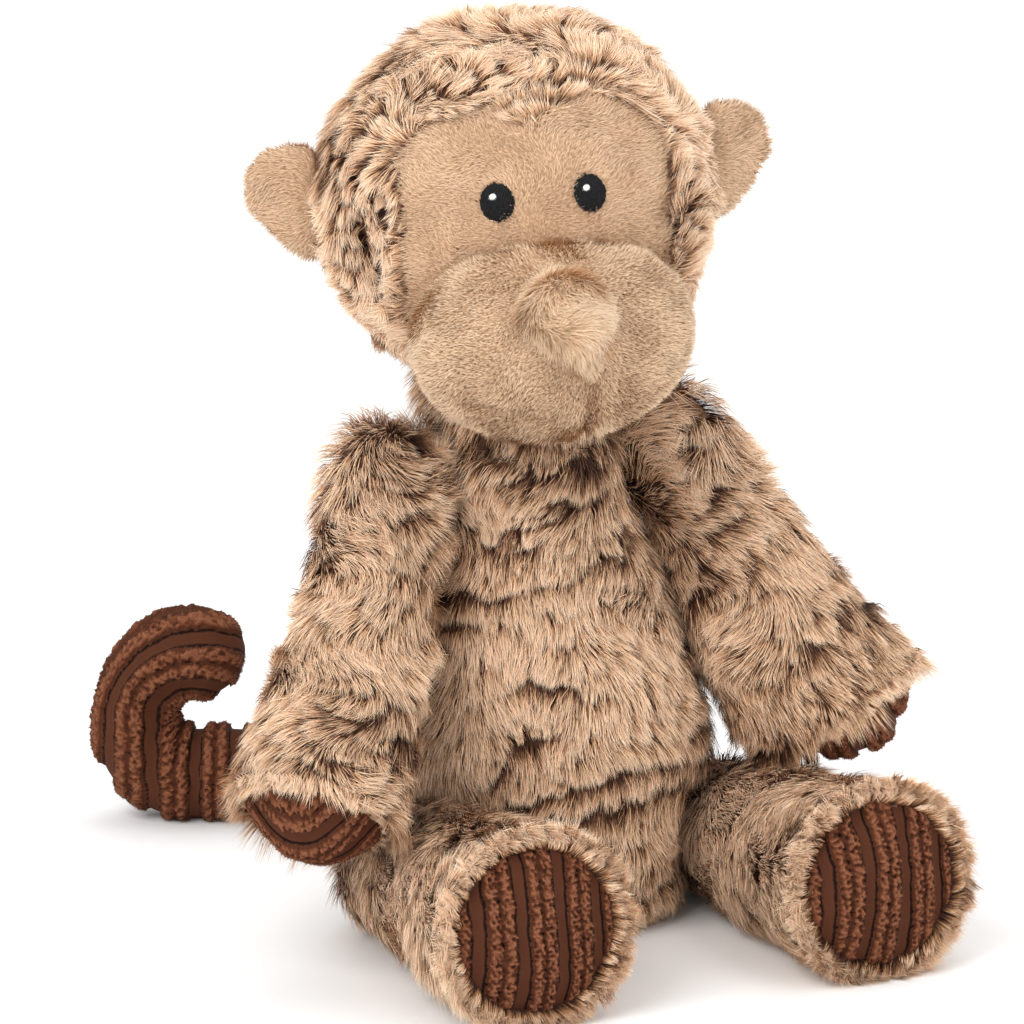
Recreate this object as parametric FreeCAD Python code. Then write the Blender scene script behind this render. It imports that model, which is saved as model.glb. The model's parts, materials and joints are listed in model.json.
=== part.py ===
"""A sitting stuffed monkey, about 260 mm tall, as the pieces it is sewn from.

Row frame: millimetres, +Z up, the monkey faces -Y and its own left is +X. The origin is the middle
of the flat seat, on the surface that it sits on.

Every stuffed piece is a closed cover, WALL thick, around its own filling. The rounded root of each
limb is a ball that sits in a dish in the torso with a small gap, where the real limb is sewn on and
flops. The torso, shoulders, neck and head are built upright and then lean a little towards -X.
"""

import FreeCAD
import Part

import math
import os

V = FreeCAD.Vector
X_AXIS, Y_AXIS, Z_AXIS = V(1, 0, 0), V(0, 1, 0), V(0, 0, 1)
ORIGIN = V(0, 0, 0)
SIDES = {"left": 1, "right": -1}

# Fabric and fits
WALL = 3.0  # backing cloth and pressed pile
GAP = 0.6  # between a limb's root and the dish it sits in
LEAN_DEG = 3.7  # of the upper body, towards -X

# Torso: a pear that is turned about its own axis, as (radius, height) points
TORSO_OUTLINE = [(24, -7), (46, 37), (37.8, 86), (24.3, 130), (0, 150)]
BACK_SEAM_DEG = 125.0  # where its surface closes on itself, clear of the limbs
BELOW = 20.0  # how far the blocks that cut things flat reach
POUCH_R, POUCH_HALF_HEIGHT, POUCH_Z = 24.0, 7.0, 14.0

# Neck and head
NECK_Z, NECK_R = 150.0, 24.0
HEAD_CENTRE = V(2, -2, 204.5)
HEAD_TURN_DEG = -15.0  # about the neck, towards -X
HEAD_SIZE = V(54, 51, 51)  # half sizes
MUZZLE_CENTRE, MUZZLE_SIZE = V(0, -46, -27), V(40.5, 31, 30.5)
NOSE_CENTRE, NOSE_SIZE, NOSE_WALL = V(-1, -76, -14), V(12, 10, 12), 2.0
LOBE_R, LOBE_X, LOBE_Z = 21.5, 15.0, 14.0  # the two lobes of the heart-shaped face
FACE_LOW_Z = -24.0
EYE_X, EYE_Z, EYE_HALF_WIDTH, EYE_HALF_HEIGHT = 13.0, 12.0, 4.4, 5.0
EYE_THICK = 1.0
GLINT_R, GLINT_OFFSET, GLINT_PROUD = 1.1, V(-0.9, 0, 1.4), 0.4
EAR_SIZE = V(17, 4.2, 16)  # half sizes: outwards, thickness, up
EAR_OUT, EAR_UP, EAR_BACK = 1.0, 3.5, 4.0
EAR_ROOT_GAP = 2.3  # from the head's side to the ear's fold line
EAR_SWEEP_DEG = 22.0

# Arms: from the shoulder ball on the leaning torso to the middle of the flat end; the left hand
# lies over the thigh and the right hand lies beside it
SHOULDER, SHOULDER_R = V(36.5, 0, 131), 12.0
ARM_ENDS = {"left": V(77, -37, 55), "right": V(-92, -44, 47)}
ARM_END_R, ARM_ROUND = 22.0, 8.0
PAW_R, PAW_DOME = 18.5, 9.0

# Legs, which lie on the surface
HIP, HIP_R = V(48, -6, 18.3), 18.0
LEG_END, LEG_END_R, LEG_ROUND = V(52, -103, 26.9), 26.5, 5.0
SOLE_R, SOLE_DOME = 22.2, 3.5

# The hollow in the torso's side that each leg lies in, looser than the rest and flared forward
HIP_SLACK, HIP_FLARE, HIP_FLARE_LENGTH = 0.9, 0.4, 60.0

# The sewn tab inside each limb's root, in a hollow of its own
TAB_R, TAB_HALF_THICKNESS, TAB_HOLLOW_R = 6.0, 1.5, 7.0

# Tail: a bent tube that lies on the surface and ends in an upright hook
TAIL_R, TAIL_ROOT_Y = 12.5, 49.0
TAIL_BEND_R, TAIL_BEND_DEG, TAIL_RUN = 69.0, 65.0, 17.5
HOOK_R, HOOK_DEG = 18.5, 184.0


def turned(shape, axis, degrees, about=ORIGIN):
    """A copy of the shape, rotated about a line."""
    copy = shape.copy()
    copy.rotate(about, axis, degrees)
    return copy


def leaned(shape):
    """The shape in its place on the leaning upper body."""
    return turned(shape, Y_AXIS, -LEAN_DEG)


def leaned_point(point):
    return FreeCAD.Rotation(Y_AXIS, -LEAN_DEG).multVec(point)


def ball(centre, radius):
    return Part.makeSphere(radius, centre)


def ellipsoid(centre, half, pole=Z_AXIS):
    """A solid with these half sizes along X, Y and Z, and the poles of its surface on one of them."""
    scale = FreeCAD.Matrix()
    scale.scale(half)
    solid = Part.makeSphere(1.0, ORIGIN, pole, -90, 90, 360).transformGeometry(scale)
    solid.translate(centre)
    return solid


def shrunk(half, by):
    return V(half.x - by, half.y - by, half.z - by)


def arc_through(start, end, centre, radius):
    """The shorter arc of a circle in the XY plane, between two of its points."""
    middle = (start + end) * 0.5 - centre
    middle.normalize()
    return Part.Arc(start, centre + middle * radius, end).toShape()


def line(start, end):
    return Part.LineSegment(start, end).toShape()


def revolved(edges):
    """The solid that a closed outline in the XY plane makes about the X axis."""
    face = Part.Face(Part.Wire(edges))
    return face.revolve(ORIGIN, X_AXIS, 360)


def along(solid, start, end):
    """A solid built along +X from the origin, moved to run from start towards end."""
    copy = solid.copy()
    copy.Placement = FreeCAD.Placement(start, FreeCAD.Rotation(X_AXIS, end - start))
    return copy


def dome_arc(rim_x, rim_r, height):
    """The arc from a rim at (rim_x, rim_r) to the axis, standing height proud of the rim."""
    radius = (rim_r**2 + height**2) / (2 * height)
    centre = V(rim_x + height - radius, 0, 0)
    return arc_through(V(rim_x, rim_r, 0), V(rim_x + height, 0, 0), centre, radius)


def limb_outline(length, root_r, end_r, round_r, pad_r, inset):
    """The edges from the root's tip to the rim of the end pad, a cone between two tangent arcs."""
    root_r = root_r - inset
    corner = V(length - round_r, end_r - round_r, 0)
    corner_r = round_r - inset
    slope = math.acos((root_r - corner_r) / corner.Length)
    normal_angle = math.atan2(corner.y, corner.x) + slope
    normal = V(math.cos(normal_angle), math.sin(normal_angle), 0)
    tip = V(-root_r, 0, 0)
    leaves_root = normal * root_r
    meets_corner = corner + normal * corner_r
    end_x = length - inset
    leaves_corner = V(end_x, corner.y, 0)
    return [
        arc_through(tip, leaves_root, ORIGIN, root_r),
        line(leaves_root, meets_corner),
        arc_through(meets_corner, leaves_corner, corner, corner_r),
        line(leaves_corner, V(end_x, pad_r, 0)),
    ], tip


def limb(length, root_r, end_r, round_r, pad_r, dome):
    """A limb's cover, filling and end pad, built along +X with the root ball at the origin."""
    outer, outer_tip = limb_outline(length, root_r, end_r, round_r, pad_r, 0)
    inner, inner_tip = limb_outline(length, root_r, end_r, round_r, pad_r, WALL)
    outer_rim, inner_rim = V(length, pad_r, 0), V(length - WALL, pad_r, 0)
    outer_top, inner_top = V(length + dome, 0, 0), V(length - WALL + dome, 0, 0)
    hull = revolved(outer + [line(outer_rim, V(length, 0, 0)), line(V(length, 0, 0), outer_tip)])
    fill = revolved(inner + [dome_arc(inner_rim.x, pad_r, dome), line(inner_top, inner_tip)])
    pad = revolved(
        [
            line(inner_rim, outer_rim),
            dome_arc(outer_rim.x, pad_r, dome),
            line(outer_top, inner_top),
            dome_arc(inner_rim.x, pad_r, dome),
        ]
    )
    hollow = ball(ORIGIN, TAB_HOLLOW_R)
    return {"cover": hull.cut(fill).cut(pad), "stuffing": fill.cut(hollow), "pad": pad}


def seam_tab(centre):
    """The layers of cloth and thread that join a limb to the torso."""
    return Part.makeCylinder(
        TAB_R, 2 * TAB_HALF_THICKNESS, centre - X_AXIS * TAB_HALF_THICKNESS, X_AXIS
    )


def mirrored(point, side):
    return V(point.x * side, point.y, point.z)


def torso_shape(inset):
    """The pear, leaning, cut flat at the seat, with its walls moved in by inset."""
    points = [V(max(r - inset, 0), 0, z) for r, z in TORSO_OUTLINE]
    points[-1].z -= inset
    side = Part.BSplineCurve()
    side.interpolate(Points=points, InitialTangent=V(1, 0, 0.35), FinalTangent=V(-1, 0, 0))
    foot = V(0, 0, points[0].z)
    edges = [side.toShape(), line(points[-1], foot), line(foot, points[0])]
    pear = Part.Face(Part.Wire(edges)).revolve(ORIGIN, Z_AXIS, 360)
    pear = turned(pear, Z_AXIS, BACK_SEAM_DEG)
    width = 3 * HEAD_SIZE.x
    below_seat = Part.makeBox(width, width, BELOW, V(-width / 2, -width / 2, inset - BELOW))
    return leaned(pear).cut(below_seat)


def hip_hollow(side, margin):
    """The space that a leg's root moves in: a ball that opens forward into a cone."""
    hip, root_r = mirrored(HIP, side), HIP_R + HIP_SLACK + margin
    mouth_r = root_r + HIP_FLARE * HIP_FLARE_LENGTH
    forward = mirrored(LEG_END, side) - hip
    cone = Part.makeCone(root_r, mouth_r, HIP_FLARE_LENGTH, hip, forward)
    return [ball(hip, root_r), cone]


def torso_hollows(margin):
    """Where the neck, limbs and tail sit against the torso, with a margin left around them."""
    hollows = [leaned(ball(V(0, 0, NECK_Z), NECK_R + margin))]
    for side in SIDES.values():
        hollows.append(leaned(ball(mirrored(SHOULDER, side), SHOULDER_R + margin)))
        hollows.extend(hip_hollow(side, margin))
    hollows.append(ball(V(0, TAIL_ROOT_Y, TAIL_R), TAIL_R + margin))
    return hollows


def make_torso():
    outer = torso_shape(0).cut(torso_hollows(GAP))
    inner = torso_shape(WALL).cut(torso_hollows(GAP + WALL))
    pouch = ellipsoid(V(0, 0, POUCH_Z), V(POUCH_R, POUCH_R, POUCH_HALF_HEIGHT))
    return {
        "torso_cover": outer.cut(inner),
        "torso_stuffing": inner.cut(pouch),
        "seat_pellet_pouch": pouch,
    }


def make_neck():
    centre = V(0, 0, NECK_Z)
    filling = ball(centre, NECK_R - WALL)
    return {
        "neck_cover": leaned(ball(centre, NECK_R).cut(filling)),
        "neck_stuffing": leaned(filling),
    }


def on_head(shape):
    """A shape built about the head's centre, in its place on the turned and leaning head."""
    placed = shape.copy()
    placed.translate(HEAD_CENTRE)
    return leaned(turned(placed, Z_AXIS, HEAD_TURN_DEG))


def face_prism():
    """The heart shape of the face, as a block that reaches forward from the head's centre."""
    depth = 2 * HEAD_SIZE.y
    lobes = [
        Part.makeCylinder(LOBE_R, depth, V(LOBE_X * side, 0, LOBE_Z), -Y_AXIS)
        for side in SIDES.values()
    ]
    half_width = LOBE_X + LOBE_R
    below = Part.makeBox(
        2 * half_width, depth, LOBE_Z - FACE_LOW_Z, V(-half_width, -depth, FACE_LOW_Z)
    )
    return below.fuse(lobes)


def on_face(proud, outline):
    """The part of a thin layer over the head that lies inside an outline block."""
    layer = ellipsoid(ORIGIN, shrunk(HEAD_SIZE, -proud)).cut(ellipsoid(ORIGIN, HEAD_SIZE))
    return layer.common(outline)


def make_eye(side):
    """An embroidered oval and the white glint in it."""
    depth = 2 * HEAD_SIZE.y
    centre = V(EYE_X * side, 0, EYE_Z)
    oval = Part.makeCylinder(1.0, depth, ORIGIN, -Y_AXIS)
    scale = FreeCAD.Matrix()
    scale.scale(V(EYE_HALF_WIDTH, 1, EYE_HALF_HEIGHT))
    oval = oval.transformGeometry(scale)
    oval.translate(centre)
    spot = Part.makeCylinder(GLINT_R, depth, centre + GLINT_OFFSET, -Y_AXIS)
    return on_face(EYE_THICK, oval).cut(spot), on_face(EYE_THICK + GLINT_PROUD, spot)


def make_head():
    outer = ellipsoid(ORIGIN, HEAD_SIZE)
    inner = ellipsoid(ORIGIN, shrunk(HEAD_SIZE, WALL))
    neck_centre = V(0, 0, NECK_Z) - HEAD_CENTRE
    neck = ball(neck_centre, NECK_R + GAP)
    inner = inner.cut(ball(neck_centre, NECK_R + GAP + WALL))
    shell = outer.cut([neck, inner])
    face = face_prism()
    muzzle = ellipsoid(MUZZLE_CENTRE, MUZZLE_SIZE)
    muzzle_fill = ellipsoid(MUZZLE_CENTRE, shrunk(MUZZLE_SIZE, WALL))
    nose = ellipsoid(NOSE_CENTRE, NOSE_SIZE)
    nose_fill = ellipsoid(NOSE_CENTRE, shrunk(NOSE_SIZE, NOSE_WALL))
    made = {
        "head_cover": shell.cut(face),
        "face_panel": shell.common(face),
        "head_stuffing": inner,
        "muzzle_cover": muzzle.cut([muzzle_fill, outer, neck]),
        "muzzle_stuffing": muzzle_fill.cut([outer, neck]),
        "nose_cover": nose.cut([nose_fill, muzzle]),
        "nose_stuffing": nose_fill.cut(muzzle),
    }
    for name, side in SIDES.items():
        made[f"eye_{name}"], made[f"eye_glint_{name}"] = make_eye(side)
    return {name: on_head(shape) for name, shape in made.items()}


def ear_root(side):
    """The middle of an ear's fold line, about the head's centre."""
    return V(side * (HEAD_SIZE.x + EAR_ROOT_GAP), EAR_BACK, EAR_UP)


def make_ear(name, side):
    """An ear in two halves, front and back, that end at the fold line beside the head."""
    whole = ellipsoid(V(EAR_OUT, 0, 0), EAR_SIZE, Y_AXIS)
    reach = 2 * EAR_SIZE.x
    outside = Part.makeBox(reach, reach, 2 * reach, V(0, 0, -reach))
    halves = {"back": whole.common(outside), "front": whole.common(turned(outside, X_AXIS, 180))}
    made = {}
    for face, half in halves.items():
        swept = turned(half, Z_AXIS, EAR_SWEEP_DEG)
        if side < 0:
            swept = swept.mirror(ORIGIN, X_AXIS)
        swept.translate(ear_root(side))
        made[f"ear_{face}_{name}"] = on_head(swept)
    return made


def make_arm(name, side):
    start, end = leaned_point(mirrored(SHOULDER, side)), ARM_ENDS[name]
    pieces = limb((end - start).Length, SHOULDER_R, ARM_END_R, ARM_ROUND, PAW_R, PAW_DOME)
    placed = {piece: along(solid, start, end) for piece, solid in pieces.items()}
    return {
        f"arm_cover_{name}": placed["cover"],
        f"arm_stuffing_{name}": placed["stuffing"],
        f"paw_pad_{name}": placed["pad"],
        f"shoulder_seam_{name}": seam_tab(start),
    }


def make_leg(name, side):
    start, end = mirrored(HIP, side), mirrored(LEG_END, side)
    pieces = limb((end - start).Length, HIP_R, LEG_END_R, LEG_ROUND, SOLE_R, SOLE_DOME)
    placed = {piece: along(solid, start, end) for piece, solid in pieces.items()}
    return {
        f"leg_cover_{name}": placed["cover"],
        f"leg_stuffing_{name}": placed["stuffing"],
        f"sole_pad_{name}": placed["pad"],
        f"hip_seam_{name}": seam_tab(start),
    }


def tail_tube(radius):
    """The tail at one radius: a bend, a straight run and an upright hook, with round ends."""
    start = V(0, TAIL_ROOT_Y, TAIL_R)
    root_cap = Part.makeSphere(radius, start, -Y_AXIS, 0, 90, 360)
    bend_centre = start - X_AXIS * TAIL_BEND_R
    disc = Part.Face(Part.Wire([Part.makeCircle(radius, start, Y_AXIS)]))
    bend = disc.revolve(bend_centre, Z_AXIS, TAIL_BEND_DEG)
    heading = FreeCAD.Rotation(Z_AXIS, TAIL_BEND_DEG).multVec(Y_AXIS)
    disc.rotate(bend_centre, Z_AXIS, TAIL_BEND_DEG)
    run = disc.extrude(heading * TAIL_RUN)
    disc.translate(heading * TAIL_RUN)
    hook_centre = disc.CenterOfMass + Z_AXIS * HOOK_R
    hook_axis = heading.cross(Z_AXIS)
    hook = disc.revolve(hook_centre, hook_axis, HOOK_DEG)
    disc.rotate(hook_centre, hook_axis, HOOK_DEG)
    tip_heading = FreeCAD.Rotation(hook_axis, HOOK_DEG).multVec(heading)
    tip_cap = Part.makeSphere(radius, disc.CenterOfMass, tip_heading, 0, 90, 360)
    return bend.fuse([run, hook, root_cap, tip_cap])


def make_tail():
    outer, inner = tail_tube(TAIL_R), tail_tube(TAIL_R - WALL)
    return {"tail_cover": outer.cut(inner), "tail_stuffing": inner}


def write(pieces):
    """One STEP file for each piece, in parts/."""
    os.makedirs("parts", exist_ok=True)
    for name, shape in pieces.items():
        solids = shape.Solids
        if not solids or not all(s.isValid() and s.Volume > 0 for s in solids):
            raise ValueError(f"{name} isn't a valid solid")
        whole = solids[0] if len(solids) == 1 else Part.makeCompound(solids)
        whole.exportStep(os.path.join("parts", f"{name}.step"))
        box = whole.optimalBoundingBox()
        print(f"{name:24s} {len(solids)} solid(s) {whole.Volume / 1000:8.2f} cm3", end="")
        print(f"  z {box.ZMin:7.1f} to {box.ZMax:7.1f}")


def main():
    pieces = {**make_torso(), **make_neck(), **make_head(), **make_tail()}
    for name, side in SIDES.items():
        pieces.update(make_ear(name, side))
        pieces.update(make_arm(name, side))
        pieces.update(make_leg(name, side))
    write(pieces)


main()
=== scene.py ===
"""A sitting stuffed monkey in long two-tone fur, with a plush face and corduroy palms, soles and tail.

Lengths are metres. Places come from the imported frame: its nodes' meshes and its joints. Each fur
piece is a soft skin, inflated by cloth simulation, and separate strands that grow from it.
"""

import itertools
import json
import math

import bmesh
import bpy
import numpy as np
from mathutils import Matrix, Vector
from mathutils.bvhtree import BVHTree
from mathutils.kdtree import KDTree


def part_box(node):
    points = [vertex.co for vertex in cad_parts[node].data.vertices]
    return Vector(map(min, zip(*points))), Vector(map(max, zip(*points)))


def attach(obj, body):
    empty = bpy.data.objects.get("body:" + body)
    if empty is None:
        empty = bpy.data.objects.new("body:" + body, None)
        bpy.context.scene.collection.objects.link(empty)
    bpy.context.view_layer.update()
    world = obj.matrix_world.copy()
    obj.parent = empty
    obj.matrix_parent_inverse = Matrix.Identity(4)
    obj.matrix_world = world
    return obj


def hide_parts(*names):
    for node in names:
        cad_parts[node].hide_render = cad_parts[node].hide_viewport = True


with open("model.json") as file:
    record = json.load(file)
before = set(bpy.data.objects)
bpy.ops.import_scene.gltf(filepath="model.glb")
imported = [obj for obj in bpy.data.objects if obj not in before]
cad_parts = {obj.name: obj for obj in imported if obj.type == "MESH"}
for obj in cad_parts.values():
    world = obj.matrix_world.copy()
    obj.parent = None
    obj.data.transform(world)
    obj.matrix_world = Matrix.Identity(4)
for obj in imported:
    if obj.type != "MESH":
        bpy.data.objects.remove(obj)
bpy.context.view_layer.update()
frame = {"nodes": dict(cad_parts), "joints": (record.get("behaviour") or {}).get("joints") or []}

MM = 0.001
UP = np.array([0.0, 0.0, 1.0])
SIDES = ("left", "right")

# Camera: its direction from the toy, its distance, its lens in mm and what the middle of the view looks at
CAMERA_AZIMUTH, CAMERA_ELEVATION = math.radians(-25.0), math.radians(15.0)
CAMERA_DISTANCE, CAMERA_LENS = 3.0, 376.7
CAMERA_AIM_RIGHT, CAMERA_AIM_UP = -10.6 * MM, 109.0 * MM

# Skins: how finely they are meshed, how far they start inside the covers, and how they are inflated
VOXEL, DRAWN_IN = 4.5 * MM, 1.8 * MM
SIM_FRAMES, SIM_PRESSURE, SIM_CAP = 20, 4.0, 3.0 * MM

# How much fuller the arms are at the shoulder, and beside the torso lower down
SHOULDER_FULL, SHOULDER_REACH = 8 * MM, 60 * MM
FOREARM_FULL = {"left": 9 * MM, "right": 1.5 * MM}
FOREARM_START, FOREARM_RISE = 20 * MM, 40 * MM

# Strand classes: how dark a strand is, and its tint, are packed into one texture coordinate
SHADES, TINTS = 16, 16
FUR_DENSITY, FUR_WIDTH = 3.8e6, 0.235 * MM
RUFF_BLADES, RUFF_LENGTH = {"arm": 10000, "leg": 17000}, {"arm": 7.0 * MM, "leg": 9.0 * MM}
FACE_DENSITY, MUZZLE_DENSITY, NOSE_DENSITY, EAR_DENSITY = 4.5e6, 4.2e6, 7.0e6, 5.0e6
FLOOR_CLEAR = 0.4 * MM


# ---------------------------------------------------------------- vectors, noise and meshes


def unit(vectors):
    length = np.linalg.norm(vectors, axis=-1, keepdims=True)
    return vectors / np.maximum(length, 1e-12)


def dot(a, b):
    return (a * b).sum(-1, keepdims=True)


def held(values):
    """The values, kept between 0 and 1."""
    return np.clip(values, 0, 1)


def flattened(vectors, normals):
    """The vectors without what they have along the normals, at length 1."""
    return unit(vectors - dot(vectors, normals) * normals)


def spun(vectors, axes, angles):
    """The vectors turned about the axes, each by its own angle."""
    c, s = np.cos(angles)[:, None], np.sin(angles)[:, None]
    return vectors * c + np.cross(axes, vectors) * s + axes * dot(axes, vectors) * (1 - c)


def waves(points, size, seed, stretch=(1, 1, 1), count=20):
    """A smooth random field with lumps of about this size; its spread is about 1."""
    draw = np.random.default_rng(seed)
    directions = unit(draw.normal(size=(count, 3)))
    rates = math.pi / size * draw.uniform(0.6, 1.4, (count, 1))
    phases = draw.uniform(0, 2 * math.pi, count)
    scaled = points / np.array(stretch)
    return np.sin(scaled @ (directions * rates).T + phases).sum(1) / math.sqrt(count / 2)


def cell_draws(cells, seed):
    """Four random numbers from 0 to 1 for each whole-numbered cell."""
    mixed = cells.astype(np.uint64) @ np.array([73856093, 19349663, 83492791], np.uint64)
    mixed ^= np.uint64(seed * 2654435761 % 2**63)
    draws = []
    for step in range(4):
        mixed ^= mixed >> np.uint64(33)
        mixed *= np.uint64(0xFF51AFD7ED558CCD)
        mixed ^= mixed >> np.uint64(33)
        mixed *= np.uint64(0xC4CEB9FE1A85EC53)
        mixed ^= mixed >> np.uint64(33)
        draws.append((mixed >> np.uint64(11)).astype(float) / 2**53)
        mixed += np.uint64(step + 1)
    return np.stack(draws, 1)


def tufts(points, size, seed):
    """The middle of the tuft that each point belongs to, and a random number for the tuft."""
    home = np.floor(points / size).astype(np.int64)
    nearest = np.full(len(points), np.inf)
    middle, number = np.zeros_like(points), np.zeros(len(points))
    for offset in itertools.product((-1, 0, 1), repeat=3):
        cells = home + np.array(offset)
        draws = cell_draws(cells + 4096, seed)
        place = (cells + draws[:, :3]) * size
        gap = ((place - points) ** 2).sum(1)
        closer = gap < nearest
        nearest[closer] = gap[closer]
        middle[closer] = place[closer]
        number[closer] = draws[closer, 3]
    return middle, number


def linked(name, data):
    """A new object in the scene for a mesh, lamp or camera."""
    made = bpy.data.objects.new(name, data)
    bpy.context.scene.collection.objects.link(made)
    return made


def mesh_object(name, vertices, face_sizes, corners):
    """A smooth-shaded mesh object from flat arrays."""
    mesh = bpy.data.meshes.new(name)
    mesh.vertices.add(len(vertices))
    mesh.vertices.foreach_set("co", np.ascontiguousarray(vertices, np.float32).ravel())
    mesh.loops.add(len(corners))
    mesh.loops.foreach_set("vertex_index", np.ascontiguousarray(corners, np.int32))
    starts = np.concatenate([[0], np.cumsum(face_sizes)[:-1]])
    mesh.polygons.add(len(face_sizes))
    mesh.polygons.foreach_set("loop_start", starts.astype(np.int32))
    mesh.polygons.foreach_set("use_smooth", np.ones(len(face_sizes), bool))
    mesh.update(calc_edges=True)
    return linked(name, mesh)


def coordinates(mesh):
    flat = np.empty(len(mesh.vertices) * 3, np.float32)
    mesh.vertices.foreach_get("co", flat)
    return flat.reshape(-1, 3).astype(float)


def vertex_normals(mesh):
    flat = np.empty(len(mesh.vertices) * 3, np.float32)
    mesh.vertex_normals.foreach_get("vector", flat)
    return flat.reshape(-1, 3).astype(float)


def move_vertices(piece, points):
    piece.data.vertices.foreach_set("co", np.ascontiguousarray(points, np.float32).ravel())
    piece.data.update()


def node_points(*names):
    """The vertices of these CAD nodes."""
    return np.concatenate([coordinates(frame["nodes"][name].data) for name in names])


def centre(name):
    """The middle of a CAD node's box."""
    cloud = node_points(name)
    return (cloud.min(0) + cloud.max(0)) / 2


def joint(name):
    """A joint's place and axis."""
    found = next(j for j in frame["joints"] if j["name"] == name)
    return np.array(found["pos_m"]), np.array(found["axis"])


# ---------------------------------------------------------------- soft skins


def applied(piece):
    """Puts the result of the piece's modifiers into its mesh."""
    graph = bpy.context.evaluated_depsgraph_get()
    mesh = bpy.data.meshes.new_from_object(piece.evaluated_get(graph), depsgraph=graph)
    piece.modifiers.clear()
    old, piece.data = piece.data, mesh
    bpy.data.meshes.remove(old)
    for face in mesh.polygons:
        face.use_smooth = True
    return piece


def object_of(name, shape):
    """An object of a bmesh, which is used up."""
    mesh = bpy.data.meshes.new(name)
    shape.to_mesh(mesh)
    shape.free()
    return linked(name, mesh)


def remeshed(piece, voxel):
    """Gives the piece even faces of about a voxel's size."""
    remesh = piece.modifiers.new("even", "REMESH")
    remesh.mode, remesh.voxel_size = "VOXEL", voxel
    return applied(piece)


def remeshed_hull(name, cloud, voxel=VOXEL):
    """An even closed mesh around a cloud of points."""
    shape = bmesh.new()
    for point in np.unique(np.round(cloud, 5), axis=0):
        shape.verts.new(point)
    found = bmesh.ops.convex_hull(shape, input=shape.verts)
    spare = {v for v in found["geom_interior"] + found["geom_unused"] if isinstance(v, bmesh.types.BMVert)}
    bmesh.ops.delete(shape, geom=list(spare), context="VERTS")
    return remeshed(object_of(name, shape), voxel)


def inflate(pieces):
    """Swells the pieces together by cloth simulation, and leaves the result in their meshes."""
    before = {piece.name: coordinates(piece.data) for piece in pieces}
    for piece in pieces:
        cloth = piece.modifiers.new("inflate", "CLOTH")
        cloth.settings.use_pressure = True
        cloth.settings.uniform_pressure_force = SIM_PRESSURE
        cloth.settings.effector_weights.gravity = 0
    for step in range(1, SIM_FRAMES + 1):
        bpy.context.scene.frame_set(step)
    for piece in pieces:
        applied(piece)
    bpy.context.scene.frame_set(1)
    for piece in pieces:
        moved = coordinates(piece.data) - before[piece.name]
        length = np.linalg.norm(moved, axis=1, keepdims=True)
        move_vertices(piece, before[piece.name] + moved * np.minimum(1, SIM_CAP / np.maximum(length, 1e-9)))
        smooth = piece.modifiers.new("smooth", "SMOOTH")
        smooth.factor, smooth.iterations = 0.5, 3
        fine = piece.modifiers.new("fine", "SUBSURF")
        fine.levels = fine.render_levels = 1
        applied(piece)


def tree(piece):
    """A search tree of the piece's faces, and each face's normal averaged with its neighbours'."""
    mesh = piece.data
    normals = vertex_normals(mesh)
    corners = [tuple(face.vertices) for face in mesh.polygons]
    smooth = np.array([normals[list(face)].mean(0) for face in corners])
    return BVHTree.FromPolygons([tuple(v) for v in coordinates(mesh)], corners), smooth


# ---------------------------------------------------------------- strands


def scattered(piece, density, seed, keep=None):
    """Random points on the piece's surface, so many per square metre, and the normals there."""
    mesh = piece.data
    mesh.calc_loop_triangles()
    flat = np.empty(len(mesh.loop_triangles) * 3, np.int32)
    mesh.loop_triangles.foreach_get("vertices", flat)
    corners = flat.reshape(-1, 3)
    points, normals = coordinates(mesh), vertex_normals(mesh)
    a, b, c = (points[corners[:, i]] for i in range(3))
    area = np.linalg.norm(np.cross(b - a, c - a), axis=1) / 2
    draw = np.random.default_rng(seed)
    amount = int(area.sum() * density)
    ladder = (np.arange(amount) + draw.uniform(size=amount)) / amount * area.sum()
    chosen = np.minimum(np.searchsorted(np.cumsum(area), ladder), len(area) - 1)
    u, v = draw.uniform(size=(2, amount))
    u, v = np.where(u + v > 1, 1 - u, u), np.where(u + v > 1, 1 - v, v)
    weights = np.stack([1 - u - v, u, v], 1)[:, :, None]
    roots = (points[corners[chosen]] * weights).sum(1)
    ups = unit((normals[corners[chosen]] * weights).sum(1))
    if keep is not None:
        kept = keep(roots)
        roots, ups = roots[kept], ups[kept]
    return roots, ups


def class_coordinate(shade, tint):
    """The texture coordinate of a strand's class, from a darkness and a tint of 0 to 1."""
    shade_step = np.clip(np.round(shade * (SHADES - 1)), 0, SHADES - 1)
    tint_step = np.clip(np.round(tint * (TINTS - 1)), 0, TINTS - 1)
    return (shade_step * TINTS + tint_step + 0.5) / (SHADES * TINTS)


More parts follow.
